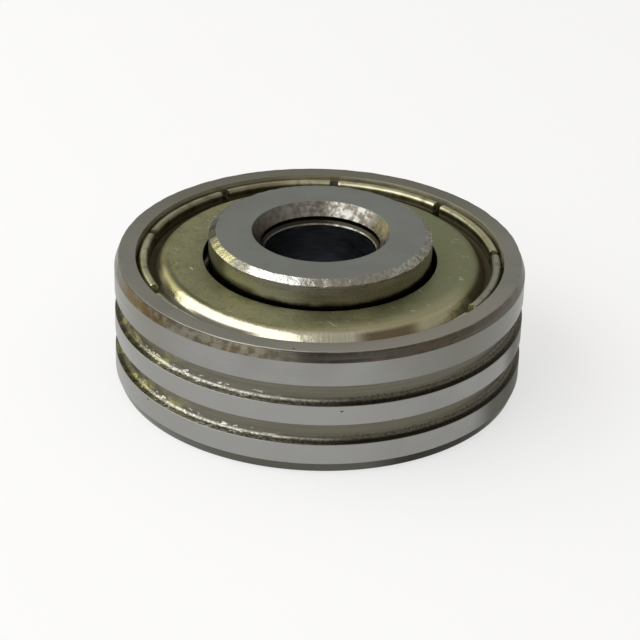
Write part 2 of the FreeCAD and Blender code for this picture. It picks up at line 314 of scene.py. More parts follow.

# %% [markdown]
# ## Ground steel
# The lands and faces of the outer ring and the end face of the inner ring were ground. They are even and
# satin, with hair-fine lines round the axis and a few dark nicks from handling. The nicks sit in the middle
# of a few random cells of a Voronoi pattern, so they stay rare and small. Tints make the face olive behind
# and lighter at the front right. On the lands the tints are painted light and shade: darker at the left
# and the right and lighter low at the front. Bare metal turns white where it is seen at a shallow angle, so
# the darkened places at the right also get a darker tint for their edge reflection, which is painted shade.
# At the front left of the face's outer edge, painted shade dims its line of light.

# %% Ground steel
DARK_NICK = colour(0.05, 0.045, 0.04)
NICK_CELLS = 0.8
NICK_EDGE = (0.2, 0.15)
NICK_DEPTH = 0.02
GRINDING_LINES = 22.0
GRINDING_DEPTH = 0.0008


def nicks(tree, space, share):
    """1 in small ragged spots, in a share of the pattern's cells."""
    cells = tree.nodes.new("ShaderNodeTexVoronoi")
    plug(tree, cells.inputs["Vector"], vector_calc(tree, "MULTIPLY", space.place, (1, 1, 2)))
    cells.inputs["Scale"].default_value = NICK_CELLS
    chance = add(tree, "ShaderNodeSeparateColor", {0: cells.outputs["Color"]}, 0)
    chosen = calc(tree, "LESS_THAN", chance, share)
    rag = times(tree, mottle(tree, space.place, 8.0), 0.26)
    ragged = calc(tree, "ADD", cells.outputs["Distance"], rag)
    return times(tree, chosen, between(tree, ragged, *NICK_EDGE))


def ground_steel(name, grey, roughness, nick_share, tints=(), edge_tints=()):
    """Satin steel. tints change its colour, and edge_tints darken what it reflects at a shallow angle, as
    painted shade.
    """
    finish, tree, shader = new_finish(name, roughness)
    space = round_space(tree)
    fine = turning_lines(tree, space, GRINDING_LINES)
    cloud = mottle(tree, space.place, 0.5)
    base = blend(tree, between(tree, fine, 0.3, 0.7), grey, shade(grey, 1.09))
    base = blend(tree, between(tree, cloud, 0.35, 0.7, 0.0, 0.6), base, shade(grey, 0.88))
    base = tinted(tree, space, base, tints)
    nick = nicks(tree, space, nick_share)
    satin = between(tree, fine, 0.25, 0.75, roughness - 0.05, roughness + 0.06)
    dented = bump(tree, inverse(tree, nick), NICK_DEPTH, bump(tree, fine, GRINDING_DEPTH))
    wire(tree, shader, base=blend(tree, nick, base, DARK_NICK), rough=satin, normal=dented)
    if edge_tints:
        wire(tree, shader, edge=tinted(tree, space, WHITE, edge_tints))
    return finish


FACE_EDGE = (ring_width - 0.004, ring_width - 0.03)
# Painted shade: a dark grey for places made to look shaded, and a dark edge tint that dims their
# reflections.
SHADE_GREY = colour(0.1, 0.097, 0.085)
SHADE_GREY_EDGE = colour(0.6, 0.6, 0.57)
# Painted light and shade on the lands: darker at the left and the right, lighter low at the front.
land_tints = [
    (190, 22, 28, 0.7, colour(0.215, 0.213, 0.178)),
    (350, 35, 40, 0.8, colour(0.175, 0.175, 0.15), UPPER),
    (240, 35, 25, 0.8, colour(0.325, 0.324, 0.308), LOWER),
    (350, 8, 12, 0.8, SHADE_GREY, LOWER),
    (345, 16, 12, 0.85, SHADE_GREY, LOWEST),
]
# Painted shade in the lands' edge reflection at the right.
land_edges = [(350, 8, 12, 0.8, SHADE_GREY_EDGE, LOWER), (345, 16, 12, 0.85, SHADE_GREY_EDGE, LOWEST)]
# The face is olive behind and lighter at the front right. The last two tints are painted shade that dims the
# line of light on its outer edge at the front left.
face_tints = [
    (90, 40, 45, 0.8, colour(0.20, 0.195, 0.145)),
    (300, 22, 25, 0.7, colour(0.36, 0.33, 0.28)),
    (204, 32, 9, 0.85, SHADE_GREY, UPPER, FACE_EDGE),
    (212, 13, 5, 0.8, colour(0.04, 0.039, 0.034), UPPER, FACE_EDGE),
]
land_finish = ground_steel("ground_land", colour(0.288, 0.287, 0.274), 0.33, 0.24, land_tints, land_edges)
end_finish = ground_steel("ground_end", colour(0.264, 0.275, 0.252), 0.36, 0.03)
face_finish = ground_steel("ground_face", colour(0.292, 0.287, 0.245), 0.34, 0.08, face_tints)

# %% [markdown]
# ## Turned steel
# Corners, seats and bores keep the marks of the lathe tool, which are coarser lines with some depth. The
# upper corner is olive with old oil and has brown stain at the front left, in patches that a noise breaks
# up. Its olive is lighter at the front, which is partly painted light, and a dark tint on its top edge there
# is painted shade that dims the edge's line of light. The lower corner is painted darker at the front and
# the right, which is painted shade of the shadowed floor it mirrors. Dark edge tints at the right of both
# corners are painted shade as well.

# %% Turned steel
OLIVE = colour(0.275, 0.262, 0.205)
RUST = colour(0.16, 0.117, 0.05)
STAIN = colour(0.11, 0.074, 0.038)
RUBBED = colour(0.17, 0.14, 0.115)
CORNER_TOP = (ring_width - 0.14, ring_width - 0.08)


def turned_steel(name, grey, roughness, lines=9.0, line_depth=0.004, tints=()):
    """Steel with tool marks. Returns the finish with what its marks are built from."""
    finish, tree, shader = new_finish(name, roughness)
    space = round_space(tree)
    coarse = turning_lines(tree, space, lines)
    base = blend(tree, between(tree, coarse, 0.3, 0.7), grey, shade(grey, 1.35))
    base = tinted(tree, space, base, tints)
    uneven = between(tree, coarse, 0.2, 0.8, roughness - 0.07, roughness + 0.1)
    normal = bump(tree, coarse, line_depth)
    wire(tree, shader, base=base, rough=uneven, normal=normal)
    return finish, tree, shader, space, base, normal


def corner_steel():
    """The sloped corners of the outer ring, with stains on the upper one and painted light and shade on
    both.
    """
    # Painted light and shade: lighter olive at the front of the upper corner, a dark top edge at the front
    # left, and the lower corner darker at the front and the right.
    tints = [
        (222, 40, 7, 0.95, OLIVE, UPPER),
        (190, 14, 8, 0.9, colour(0.14, 0.138, 0.11), UPPER),
        (240, 22, 10, 0.6, SHADE_GREY, CORNER_TOP),
        (250, 60, 25, 0.8, colour(0.088, 0.086, 0.07), LOWER),
        (316, 18, 14, 0.9, colour(0.035, 0.034, 0.03), LOWER),
    ]
    # Painted shade: dark edge tints that dim the corners' reflections at the right.
    edges = [(345, 12, 12, 0.6, SHADE_GREY_EDGE, UPPER), (316, 20, 14, 0.9, SHADE_GREY_EDGE, LOWER)]
    stains = [
        ((212, 8, 7), (0.32, 0.56, 0.35, 1.0), RUST),
        ((238, 18, 8), (0.42, 0.6, 0.1, 0.75), STAIN),
        ((285, 22, 12), (0.46, 0.6, 0.0, 0.7), RUBBED),
    ]
    grey = colour(0.11, 0.105, 0.088)
    finish, tree, shader, space, base, _ = turned_steel("turned_corner", grey, 0.3, tints=tints)
    patches = mottle(tree, space.place, 2.2, 6.0)
    upper = between(tree, space.height, *UPPER)
    for side, spread, stain in stains:
        patchy = times(tree, sector(tree, space, *side), between(tree, patches, *spread), upper)
        base = blend(tree, patchy, base, stain)
    wire(tree, shader, base=base, edge=tinted(tree, space, WHITE, edges))
    return finish


corner_finish = corner_steel()
seat_finish = turned_steel("turned_seat", colour(0.40, 0.38, 0.29), 0.5)[0]
bore_finish = turned_steel("honed_bore", colour(0.10, 0.105, 0.115), 0.34, 9.0, 0.0003)[0]

# %% [markdown]
# The mouth of the bore is a countersink with a short counterbore below it. Stain has eaten into it in
# blotches, so the same noise darkens it and roughens it. The corner below the countersink is painted near
# black, which is painted shade in that recess. The mouth is painted darker at the left and the back right
# and lighter and yellower at the right, which is painted light and shade, and painted glints sit among the
# blotches at the back right.

# %% Mouth of the bore
SHADE_BELOW, SHADE_ABOVE = (7.66, 7.6), (7.25, 7.31)
MOUTH_GRAIN_DEPTH = 0.03


def mouth_steel():
    """The stained countersink and counterbore of the inner ring, with painted light, shade and glints."""
    # Painted light and shade by side: darker at the left and back right, lighter and yellower at the right.
    tints = [
        (185, 45, 35, 0.85, colour(0.13, 0.13, 0.11)),
        (14, 16, 12, 0.9, colour(0.32, 0.285, 0.19)),
        (55, 26, 14, 0.85, colour(0.12, 0.112, 0.09)),
    ]
    grey = colour(0.25, 0.232, 0.2)
    finish, tree, shader, space, base, normal = turned_steel("turned_mouth", grey, 0.26, 7.0, tints=tints)
    grain = mottle(tree, space.place, 3.0, 5.0)
    base = blend(tree, between(tree, grain, 0.42, 0.66, 0.0, 0.7), base, colour(0.11, 0.092, 0.072))
    # Painted glints among the blotches at the back right.
    painted_glint = times(tree, sector(tree, space, 62, 14, 12), between(tree, grain, 0.6, 0.4))
    base = blend(tree, painted_glint, base, colour(0.34, 0.335, 0.3))
    # Painted shade: the corner below the countersink is painted near black.
    above = between(tree, space.height, *SHADE_ABOVE)
    painted_shade = times(tree, above, between(tree, space.height, *SHADE_BELOW))
    base = blend(tree, painted_shade, base, colour(0.03, 0.027, 0.02))
    wire(tree, shader, base=base, normal=bump(tree, grain, MOUTH_GRAIN_DEPTH, normal))
    return finish


mouth_finish = mouth_steel()

# %% [markdown]
# ## Groove steel
# The two grooves were turned with a round-nosed tool and nobody cleaned them. Yellow-green oil has dried in
# them at the left. At the front left their lower walls are torn and glitter, and elsewhere they are pitted.
# There the torn flecks are painted near white and keep to where the lamp is mirrored, so they are partly
# painted glints, and the lower walls are painted light grey, which is painted light in that shaded hollow.
# Both grooves are alike, so the height is wrapped to a height from the nearest groove's middle, and one set
# of masks serves them both.

# %% Groove steel
groove_width, groove_depth, groove_round = 1.16, 0.5, 0.3
groove_heights = (2.27, 4.53)
OIL = colour(0.36, 0.35, 0.155)
LOW_SIDE, PITTED_SIDE, LOW_WALL = (-0.2, -0.34), (-0.2, -0.38), (-0.41, -0.53)
TEAR_DEPTH = 0.02


def from_groove_middle(tree, space):
    """Height above the middle of the nearest groove."""
    half_pitch = (groove_heights[1] - groove_heights[0]) / 2
    limits = {0: space.height, 1: groove_heights[0] + half_pitch, 2: groove_heights[0] - half_pitch}
    wrapped = add(tree, "ShaderNodeMath", limits, operation="WRAP")
    return calc(tree, "SUBTRACT", wrapped, groove_heights[0])


def groove_steel():
    """The grooves, with oil, stain, pits, torn metal, and painted light and glints at the front left."""
    grey = colour(0.14, 0.134, 0.106)
    finish, tree, shader, space, base, normal = turned_steel("turned_groove", grey, 0.34)
    level = from_groove_middle(tree, space)
    low_side = between(tree, level, *LOW_SIDE)
    base = tinted(tree, space, base, [(202, 12, 14, 0.8, colour(0.13, 0.125, 0.08))])

    smeared = vector_calc(tree, "MULTIPLY", space.place, (0.4, 0.4, 1))
    blotch = between(tree, mottle(tree, smeared, 2.4, 5.0), 0.48, 0.58)
    oily = times(tree, sector(tree, space, 205, 18, 16), blotch, between(tree, low_side, 0, 1, 0.25, 0.9))
    base = blend(tree, oily, base, OIL)
    base = tinted(tree, space, base, [(320, 40, 35, 0.12, STAIN)])

    # Painted light: at the front left the lower walls are painted light grey, and no pits are put there.
    lit_bare = sector(tree, space, 245, 19, 18)
    pits = between(tree, mottle(tree, space.place, 9.0, 4.0), 0.44, 0.6, 0.0, 0.6)
    pits = times(tree, pits, between(tree, level, *PITTED_SIDE), inverse(tree, lit_bare))
    base = blend(tree, pits, base, colour(0.045, 0.041, 0.032))
    rough = between(tree, mottle(tree, space.place, 6.0, 5.0), 0.4, 0.58, 0.15, 1.0)
    painted_wall_light = times(tree, lit_bare, rough, between(tree, level, *LOW_WALL))
    base = blend(tree, painted_wall_light, base, colour(0.5, 0.48, 0.42))

    # Torn flecks painted near white where the lamp is mirrored: torn metal, and partly painted glints.
    flat = vector_calc(tree, "MULTIPLY", space.place, (1, 1, 3))
    flecks = between(tree, mottle(tree, flat, 2.4, 5.0), 0.56, 0.63)
    torn_glints = times(tree, sector(tree, space, 234, 16, 12), low_side, flecks)
    base = blend(tree, torn_glints, base, colour(0.85, 0.84, 0.80))
    wire(tree, shader, base=base, normal=bump(tree, torn_glints, TEAR_DEPTH, normal))
    return finish


groove_finish = groove_steel()

# %% [markdown]
# ## Side of the inner ring
# The part of the inner ring that stands proud was turned finely. It reflects the shield around it, and it is
# darker towards the bottom, by the gap. The dark part's upper edge wanders, because a slow noise is taken
# from the height before the height is masked. At the left it is painted darker, which is painted shade that
# damps the lamp's reflection, and a darker band low down at the front left is painted shade by the gap.

# %% Inner side
DARK_LOW_EDGE = (7.0, 6.65)
DARK_EDGE_WANDER = 0.5
GAP_SHADE = (7.45, 7.15)


def side_steel():
    """The outside of the inner ring, darker near the gap, with painted shade at the left."""
    # Painted shade at the left and by the gap, a yellow streak at the front left, and lighter at the right.
    tints = [
        (192, 16, 16, 0.85, colour(0.055, 0.053, 0.04)),
        (226, 7, 8, 0.6, colour(0.34, 0.33, 0.22)),
        (218, 14, 8, 0.8, colour(0.05, 0.048, 0.036), GAP_SHADE),
        (335, 50, 35, 0.9, colour(0.36, 0.33, 0.27)),
    ]
    grey = colour(0.265, 0.26, 0.25)
    finish, tree, shader, space, base, _ = turned_steel("ground_side", grey, 0.27, 12.0, 0.002, tints)
    # Darker towards the bottom, with a wandering edge.
    wander = times(tree, mottle(tree, space.place, 0.9), DARK_EDGE_WANDER)
    darker_low = between(tree, calc(tree, "SUBTRACT", space.height, wander), *DARK_LOW_EDGE)
    wire(tree, shader, base=blend(tree, darker_low, base, colour(0.05, 0.046, 0.036)))
    return finish


side_finish = side_steel()

# %% [markdown]
# The outer chamfer of the inner ring was cut fast and tore as it was cut. Its skin is a patchwork of tiny
# facets, so it glitters where the light comes from. Strong, fine bumps on bright metal do the same. At the
# back left the cut is whole, so the bumps fade there. The metal is painted darker there and at the right,
# with darker edge tints, which is painted shade that damps the lamp's reflection. A near-white patch at the
# front left is a painted highlight, and the other tints are painted light and shade as well.

# %% Torn chamfer
WHOLE_SHADED_SIDE = (160, 26, 12)
SHADED_RIGHT_SIDE = (26, 14, 12)
FACET_DEPTH = 0.065


def torn_steel():
    """The glittering chamfer of the inner ring, with painted light and shade and a painted highlight."""
    # Painted shade at the back left and the right, a painted highlight at the front left, painted light and
    # shade elsewhere.
    tints = [
        (*WHOLE_SHADED_SIDE, 0.95, colour(0.155, 0.154, 0.128)),
        (*SHADED_RIGHT_SIDE, 0.6, colour(0.18, 0.18, 0.14)),
        (207, 9, 6, 0.8, colour(0.46, 0.44, 0.23)),
        (225, 4, 5, 0.75, colour(0.2, 0.192, 0.15)),
        (246, 10, 8, 0.9, colour(0.88, 0.87, 0.85)),
        (290, 14, 12, 0.6, colour(0.25, 0.23, 0.195)),
    ]
    # Painted shade in the edge reflection at the back left and the right.
    edges = [(*WHOLE_SHADED_SIDE, 0.9, SHADE_GREY_EDGE), (*SHADED_RIGHT_SIDE, 0.6, SHADE_GREY_EDGE)]
    finish, tree, shader = new_finish("torn_chamfer", 0.26)
    space = round_space(tree)
    grain = mottle(tree, space.place, 5.5, 6.0)
    dark, light = colour(0.25, 0.24, 0.2), colour(0.46, 0.445, 0.385)
    base = blend(tree, between(tree, grain, 0.35, 0.65), dark, light)
    whole = times(tree, sector(tree, space, *WHOLE_SHADED_SIDE), 0.95)
    facets = bump(tree, times(tree, grain, inverse(tree, whole)), FACET_DEPTH)
    base = tinted(tree, space, base, tints)
    wire(tree, shader, base=base, edge=tinted(tree, space, WHITE, edges), normal=facets)
    return finish


chamfer_finish = torn_steel()

# %% [markdown]
# ## Yellow-finished sheet
# The shields are pressed from thin sheet with a yellow zinc finish, which is more olive where it is thin.
# Pressing and handling left fine scratches on the flat plate, in a few directions. Each set of scratches is
# noise stretched hard along one direction and kept only at its peaks.

# %% Zinc plate
PLATE_END = (8.1, 7.95)
SCRATCH_SETS = [(-48, 0.70), (68, 0.74), (-14, 0.73)]
SCRATCH_STRETCH = (1.2, 0.07, 1.0)
SCRATCH_COLOUR = colour(0.80, 0.78, 0.62)


def scratches(tree, place, angle, keep):
    """Fine straight marks that run at an angle on flat faces, in degrees. A higher keep leaves fewer."""
    stretch = {"Vector": place, "Rotation": (0, 0, math.radians(angle)), "Scale": SCRATCH_STRETCH}
    turn = add(tree, "ShaderNodeMapping", stretch, vector_type="TEXTURE")
    marks = add(tree, "ShaderNodeTexNoise", {"Vector": turn, "Scale": 1.0, "Detail": 1.0})
    return between(tree, marks, keep, keep + 0.05)


def scratched(tree, space):
    """1 on the scratches, which keep to patches of the flat plate."""
    marks = largest(tree, *(scratches(tree, space.place, angle, keep) for angle, keep in SCRATCH_SETS))
    patchy = between(tree, mottle(tree, space.place, 0.45), 0.5, 0.58)
    return times(tree, marks, patchy, between(tree, space.radius, *PLATE_END))


def plate_colour(tree, space, cloud, fine, marks):
    """The sheet's own colour: patchy yellow with fine lines, dark pits and scratches."""
    thin, thick = colour(0.25, 0.25, 0.13), colour(0.305, 0.3, 0.162)
    base = blend(tree, between(tree, cloud, 0.35, 0.65), thin, thick)
    base = blend(tree, between(tree, fine, 0.3, 0.75, 0.0, 0.3), base, colour(0.35, 0.345, 0.2))
    pits = between(tree, mottle(tree, space.place, 5.0, 5.0), 0.54, 0.66, 0.0, 0.5)
    base = blend(tree, pits, base, colour(0.16, 0.15, 0.085))
    base = tinted(tree, space, base, [(5, 45, 40, 0.7, colour(0.225, 0.245, 0.135))])
    return blend(tree, marks, base, SCRATCH_COLOUR)


print(len(SCRATCH_SETS), "sets of scratches on the plate")

# %% [markdown]
# The die drew the sheet over the shoulder and burnished it. It is bright at the front, with fine lines that
# run away from the axis, and yellower towards its ends. The bright colour keeps to the front, where the lamp
# is mirrored, so it is partly a painted highlight. The folded rim is lighter than the plate, with brown
# spots. Its inner bend is painted darker, and the rim is painted lighter at the right and darker at the
# front
# right and the back left: painted shade and light.

# %% Zinc shoulder and rim
TAN = colour(0.42, 0.385, 0.235)
# Grime; the rim's inner bend also uses it as painted shade.
GRIME_AND_SHADE = colour(0.066, 0.057, 0.03)
SHADED_BEND, TANNED_PLATE, INNER_BEND = (8.0, 8.15), (7.4, 8.1), (9.42, 9.3)


def drawn_lines(tree, space, density):
    """Noise in lines that run away from the axis, as drawing over a die leaves them."""
    around = vector_calc(tree, "MULTIPLY", space.direction, (density,) * 3)
    along = calc(tree, "ADD", space.radius, space.height)
    inputs = {"Vector": around, "W": along, "Scale": 1.0, "Detail": 3.0}
    return add(tree, "ShaderNodeTexNoise", inputs, noise_dimensions="4D")


def shoulder_colour(tree, space, base, drawn, burnish_and_highlight):
    """Shades the bend above the shoulder at the left, brightens the shoulder (partly painted highlight),
    tans its right.
    """
    above = between(tree, space.radius, *SHADED_BEND, 0.0, 0.65)
    shadowed = times(tree, sector(tree, space, 206, 17, 10), above)
    base = blend(tree, shadowed, base, colour(0.12, 0.11, 0.06))
    # Partly a painted highlight: a bright colour kept to the front, where the lamp is mirrored.
    worn, lit_bare = colour(0.48, 0.455, 0.32), colour(0.57, 0.55, 0.43)
    bright = blend(tree, between(tree, drawn, 0.3, 0.7), worn, lit_bare)
    ends = [(312, 16, 12, 0.8, TAN), (200, 8, 8, 0.7, colour(0.40, 0.37, 0.2))]
    base = blend(tree, burnish_and_highlight, base, tinted(tree, space, bright, ends))
    outward = between(tree, space.radius, *TANNED_PLATE, 0.0, 0.6)
    tanned = times(tree, sector(tree, space, 305, 22, 16), outward, inverse(tree, burnish_and_highlight))
    return blend(tree, tanned, base, TAN)


def rim_colour(tree, space, cloud):
    """The folded rim, lighter than the plate and spotted with grime, with painted light and shade by side.
    """
    # Painted light and shade by side: lighter at the right, darker at the front right and the back left.
    tints = [
        (28, 18, 8, 0.8, colour(0.50, 0.48, 0.31)),
        (346, 16, 5, 0.85, colour(0.29, 0.30, 0.24)),
        (140, 26, 12, 0.45, colour(0.27, 0.25, 0.165)),
    ]
    thin, thick = colour(0.40, 0.38, 0.24), colour(0.52, 0.50, 0.35)
    folded = blend(tree, between(tree, cloud, 0.4, 0.6), thin, thick)
    folded = tinted(tree, space, folded, tints)
    # Painted shade on the inner bend at the right and the back left.
    sides = largest(tree, sector(tree, space, 22, 18, 8), sector(tree, space, 138, 30, 10))
    bend = times(tree, sides, between(tree, space.radius, *INNER_BEND, 0.0, 0.5))
    folded = blend(tree, bend, folded, GRIME_AND_SHADE)
    spots = between(tree, mottle(tree, space.place, 1.3, 5.0), 0.5, 0.68, 0.0, 0.5)
    return blend(tree, spots, folded, GRIME_AND_SHADE)


print("the rim bends inward of a radius of", INNER_BEND[0], "mm")

# %% [markdown]
# Grime fills the channel between the shoulder and the rim, except along the front, where it was wiped out.
# Its darkness there is partly painted shade in the hollow. At the front left, a band on the shoulder's slope
# and its foot are painted dark and dull, which is painted shade that narrows the shoulder's highlight.
# Grime isn't metal, so it takes away shine as well as colour: the same mask lowers Metallic and the edge
# tint and raises Roughness, on the painted shade as well. Depth is measured from the nearer face, so the
# sheet serves both shields.

# %% Zinc grime and finish
WIPED = (267, 61, 9)
SWEPT = (260, 64, 9)
SHOULDER, POLISHED, RIM = (8.22, 8.45), (8.0, 8.2), (9.05, 9.2)
SLOPE = (8.75, 8.6)
SLOPE_SHADE_SIDE, SLOPE_SHADE_BAND = (235, 7, 11), (8.61, 8.69)
FOOT_SIDE, FOOT_BAND = (216, 10, 8), (8.7, 8.75)
BROWN_DEPTH, CHANNEL_DEPTH, RIM_DEPTH, BOTTOM_DEPTH = (0.22, 0.42), (0.25, 0.5), (0.45, 0.7), (0.75, 0.9)
GRIME_AND_SHADE_EDGE = colour(0.2, 0.17, 0.1)


def with_grime(tree, space, base, wiped, swept, rim):
    """Dirties the channel, partly as painted shade, and paints shade on the slope's foot. Returns the colour
    and the mask of both.
    """
    depth = calc(tree, "MINIMUM", space.height, calc(tree, "SUBTRACT", ring_width, space.height))
    brown = times(tree, sector(tree, space, 295, 6, 8), between(tree, depth, *BROWN_DEPTH, 0.0, 0.95))
    base = blend(tree, brown, base, colour(0.15, 0.112, 0.066))
    channel = times(tree, between(tree, depth, *CHANNEL_DEPTH), inverse(tree, rim))
    channel = largest(tree, channel, between(tree, depth, *RIM_DEPTH))
    clean = largest(tree, wiped, times(tree, swept, between(tree, space.radius, *SLOPE)))
    grime_and_shade_mask = calc(tree, "SUBTRACT", channel, clean, clamp=True)
    grime_and_shade_mask = largest(tree, grime_and_shade_mask, between(tree, depth, *BOTTOM_DEPTH))
    base = blend(tree, grime_and_shade_mask, base, GRIME_AND_SHADE)
    # Painted shade, dark and dull, on a band of the slope and its foot at the front left.
    painted_slope_shade = times(tree, sector(tree, space, *SLOPE_SHADE_SIDE), between(tree, space.radius, *SLOPE_SHADE_BAND))
    foot = times(tree, sector(tree, space, *FOOT_SIDE), between(tree, space.radius, *FOOT_BAND))
    painted_slope_shade = times(tree, largest(tree, painted_slope_shade, foot), inverse(tree, rim))
    return blend(tree, painted_slope_shade, base, colour(0.125, 0.12, 0.1)), largest(tree, grime_and_shade_mask, painted_slope_shade)


def zinc_sheet():
    """The whole shield's finish, from the plate out to the rim."""
    finish, tree, shader = new_finish("zinc_sheet", 0.3)
    space = round_space(tree)
    cloud = mottle(tree, space.place, 0.8, 4.0)
    fine = turning_lines(tree, space, 7.0)
    marks = scratched(tree, space)
    drawn = drawn_lines(tree, space, 70.0)
    wiped = sector(tree, space, *WIPED)
    swept = sector(tree, space, *SWEPT)
    burnish_and_highlight = times(tree, between(tree, space.radius, *SHOULDER), swept)
    rim = between(tree, space.radius, *RIM)

    base = plate_colour(tree, space, cloud, fine, marks)
    base = shoulder_colour(tree, space, base, drawn, burnish_and_highlight)
    base = blend(tree, rim, base, rim_colour(tree, space, cloud))
    base, grime_and_shade_mask = with_grime(tree, space, base, wiped, swept, rim)
    metal = between(tree, grime_and_shade_mask, 0.0, 1.0, 1.0, 0.4)
    wire(tree, shader, base=base, metal=metal, edge=blend(tree, grime_and_shade_mask, WHITE, GRIME_AND_SHADE_EDGE))

    dull = calc(tree, "ADD", between(tree, cloud, 0.3, 0.7, 0.40, 0.50), times(tree, grime_and_shade_mask, 0.2))
    polished = times(tree, between(tree, space.radius, *POLISHED), wiped)
    polished = largest(tree, polished, times(tree, rim, 0.5))
    wire(tree, shader, rough=calc(tree, "SUBTRACT", dull, times(tree, polished, 0.24)))

    reliefs = [
        (fine, 0.002),
        (mottle(tree, space.place, 3.0), 0.008),
        (times(tree, drawn, burnish_and_highlight), 0.003),
        (times(tree, mottle(tree, space.place, 1.4, 4.0), wiped), 0.03),
        (inverse(tree, marks), 0.006),
    ]
    normal = None
    for height, relief_depth in reliefs:
        normal = bump(tree, height, relief_depth, normal)
    wire(tree, shader, normal=normal)
    return finish


zinc_finish = zinc_sheet()
print(len(zinc_finish.node_tree.nodes), "nodes in the sheet's finish")

# %% [markdown]
# ## Outer ring
# The ring is turned from bar, grooved, and ground on the outside and faces. Its outline runs from the
# lower face round the outside and back through the seats and the raceway. The raceway is an arc, so its
# side of the wire is replaced by a point spun about the arc's centre. Sharp edges are broken by a few
# hundredths, as a deburred part's are, which gives each edge its thin line of light. The edge of the upper
# face is worn, so its points wander a little with a noise that runs round the ring.

# %% Outer ring
EDGE = 0.03
SOFT_EDGE = 0.04
WORN_EDGE = 0.08
RACE_STEPS = 24
LONG_WAVES, SHORT_WAVES = (0.7, 14), (0.3, 45)
mid_height = ring_width / 2
raceway_radius = 2.0645
outer_race = 9.5
outer_land = 8.95
corner_depth, corner_length = 0.21, 0.57
seat_mouth, seat_undercut, seat_depth = 9.87, 0.1, 1.15
neck_depth, undercut_depth = 0.75, 0.85


def cut_raceway(bm, land, centre, turn):
    """Replaces the upright side at the land's radius by an arc, which turns the given way."""
    upright = [edge for edge in bm.edges if all(abs(end.co.x - land) < EDGE / 10 for end in edge.verts)]
    side = min(upright, key=lambda edge: abs(edge.verts[0].co.z + edge.verts[1].co.z - 2 * mid_height))
    upper = max(side.verts, key=lambda end: end.co.z)
    half_angle = math.asin((upper.co.z - mid_height) / raceway_radius)
    bm.edges.remove(side)
    bmesh.ops.spin(bm, geom=[upper], cent=(centre, 0, mid_height), axis=(0, 1, 0),
                   angle=turn * 2 * half_angle, steps=RACE_STEPS)
    bmesh.ops.remove_doubles(bm, verts=bm.verts[:], dist=EDGE / 100)


def race_half_height(land, centre):
    return math.sqrt(raceway_radius**2 - (land - centre) ** 2)


def wear(bm, radius, height, reach, move):
    """Wanders the points within reach of an edge, by up to a move of (radius, height)."""
    for vert in bm.verts:
        if abs(vert.co.xy.length - radius) > reach or abs(vert.co.z - height) > reach:
            continue
        out = Vector((vert.co.x, vert.co.y, 0)).normalized()
        share = sum(size * noise.noise(out * count) for size, count in (LONG_WAVES, SHORT_WAVES))
        vert.co += share * (move[0] * out + Vector((0, 0, move[1])))


def outer_ring():
    face_radius = outer_radius - corner_depth
    groove_floor = outer_radius - groove_depth
    centre = outer_race - raceway_radius
    race_half = race_half_height(outer_land, centre)
    outside = []
    for height in groove_heights:
        low, high = height - groove_width / 2, height + groove_width / 2
        outside += [(outer_radius, low, EDGE), (groove_floor, low, groove_round),
                    (groove_floor, high, groove_round), (outer_radius, high, EDGE)]
    lower_seat = [(outer_land, seat_depth, EDGE), (seat_mouth + seat_undercut, seat_depth),
                  (seat_mouth + seat_undercut, undercut_depth), (seat_mouth, neck_depth)]
    upper_seat = [(radius, ring_width - height, *rest) for radius, height, *rest in reversed(lower_seat)]
    bm = outline([
        (seat_mouth, 0, EDGE),
        (face_radius, 0, WORN_EDGE),
        (outer_radius, corner_length, SOFT_EDGE),
        *outside,
        (outer_radius, ring_width - corner_length, SOFT_EDGE),
        (face_radius, ring_width, WORN_EDGE),
        (seat_mouth, ring_width, EDGE),
        *upper_seat,
        (outer_land, mid_height + race_half),
        (outer_land, mid_height - race_half),
        *lower_seat,
    ])
    cut_raceway(bm, outer_land, centre, 1)
    turned(bm)
    wear(bm, face_radius, ring_width, WORN_EDGE, (0.05, 0))
    finishes = [face_finish, corner_finish, land_finish, groove_finish, seat_finish]
    face, corner, land, groove, seat = range(len(finishes))

    def zone(radius, height):
        from_end = min(height, ring_width - height)
        if from_end < WORN_EDGE * 0.6:
            return face
        if radius < groove_floor - EDGE:
            return seat
        if from_end < corner_length:
            return corner
        in_groove = min(abs(height - middle) for middle in groove_heights) < groove_width / 2
        return groove if in_groove else land

    ring = piece(bm, "grooved_ring", finishes, zone, "outer")
    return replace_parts(ring, "outer_ring")


outer_ring()

# %% [markdown]
# ## Inner ring
# The inner ring is longer than the outer one on the upper side. Its end has a torn outer chamfer, a
# countersink and a short counterbore with a lip, all of which show as separate rings of light, so each
# gets its own finish. Both edges of the chamfer wander, because the metal tore there.

# %% Inner ring
inner_race = 5.5
bore_radius, counterbore_step, mouth_flare = 3.0, 0.2, 0.49
mouth_depth, counterbore_length = 0.72, 0.22
chamfer_depth, chamfer_length, lower_chamfer = 0.39, 0.27, 0.3


